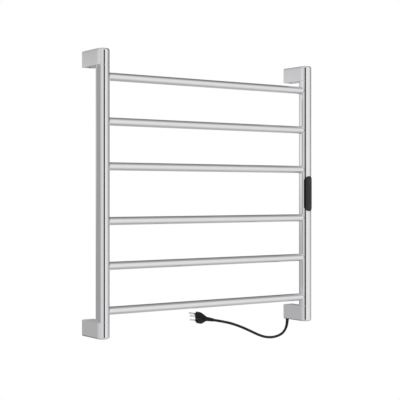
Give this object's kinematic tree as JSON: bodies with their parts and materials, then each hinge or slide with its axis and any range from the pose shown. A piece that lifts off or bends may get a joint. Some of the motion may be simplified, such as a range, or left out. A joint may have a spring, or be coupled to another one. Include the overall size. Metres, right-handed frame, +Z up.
{
  "type": "towel warmer rack",
  "caption": "Wall-mounted electric towel warmer: polished round rails between two uprights on four wall brackets, with a front control and mains lead.",
  "frame": {"origin": "centre of the four wall fixing holes, in the wall plane", "axes": "+Z up along the uprights, +Y into the wall, -Y towards the room, +X towards the upright that carries the control"},
  "size_m": [0.644, 0.0878, 0.7173],
  "materials": {
    "black_pvc": "satin moulded PVC",
    "black_steel": "black oxide",
    "board_laminate": "solder mask",
    "button_grey": "satin moulding",
    "component_plastic": "moulded",
    "control_black": "satin black moulding",
    "control_face_grey": "smoked gloss",
    "core_insulation": "PVC insulation",
    "nickel_pins": "nickel-plated brass",
    "polished_chrome": "mirror-polished chrome plate",
    "seal_rubber": "matt",
    "silicone_cable": "silicone rubber",
    "status_lens_clear": "translucent",
    "terminal_nylon": "natural nylon",
    "zinc_steel": "zinc-plated steel"
  },
  "bodies": {
    "rack": {"board_connectors": "component_plastic", "board_screws": "zinc_steel", "bracket_grub_screws": "black_steel", "button_switch": "component_plastic", "control_board": "board_laminate", "control_face": "control_face_grey", "control_housing": "control_black", "control_seal": "seal_rubber", "control_supply_lead": "silicone_cable", "cord_strain_relief": "black_pvc", "heater_relay": "component_plastic", "heater_return_lead": "silicone_cable", "heating_cable": "silicone_cable", "left_upright_tube": "polished_chrome", "lower_left_bracket": "polished_chrome", "lower_left_spigot": "zinc_steel", "lower_left_wall_plate": "zinc_steel", "lower_right_bracket": "polished_chrome", "lower_right_spigot": "zinc_steel", "lower_right_wall_plate": "zinc_steel", "mains_cores": "core_insulation", "plug_body": "black_pvc", "plug_pins": "nickel_pins", "plug_strain_relief": "black_pvc", "power_cord": "black_pvc", "right_upright_tube": "polished_chrome", "spigot_ring_nuts": "zinc_steel", "status_led": "component_plastic", "status_lens": "status_lens_clear", "terminal_block": "terminal_nylon", "terminal_screws": "zinc_steel", "thermal_cutout": "component_plastic", "towel_bar_1": "polished_chrome", "towel_bar_2": "polished_chrome", "towel_bar_3": "polished_chrome", "towel_bar_4": "polished_chrome", "towel_bar_5": "polished_chrome", "towel_bar_6": "polished_chrome", "upper_left_bracket": "polished_chrome", "upper_left_spigot": "zinc_steel", "upper_left_wall_plate": "zinc_steel", "upper_right_bracket": "polished_chrome", "upper_right_spigot": "zinc_steel", "upper_right_wall_plate": "zinc_steel"},
    "button": {"power_button": "button_grey"}
  },
  "joints": [
    {"name": "button_press", "type": "slide", "parent": "rack", "child": "button", "axis": [0, 1, 0], "range_m": [0, 0.0008], "stiffness_N_per_m": 1500, "springref_m": -0.0004}
  ]
}
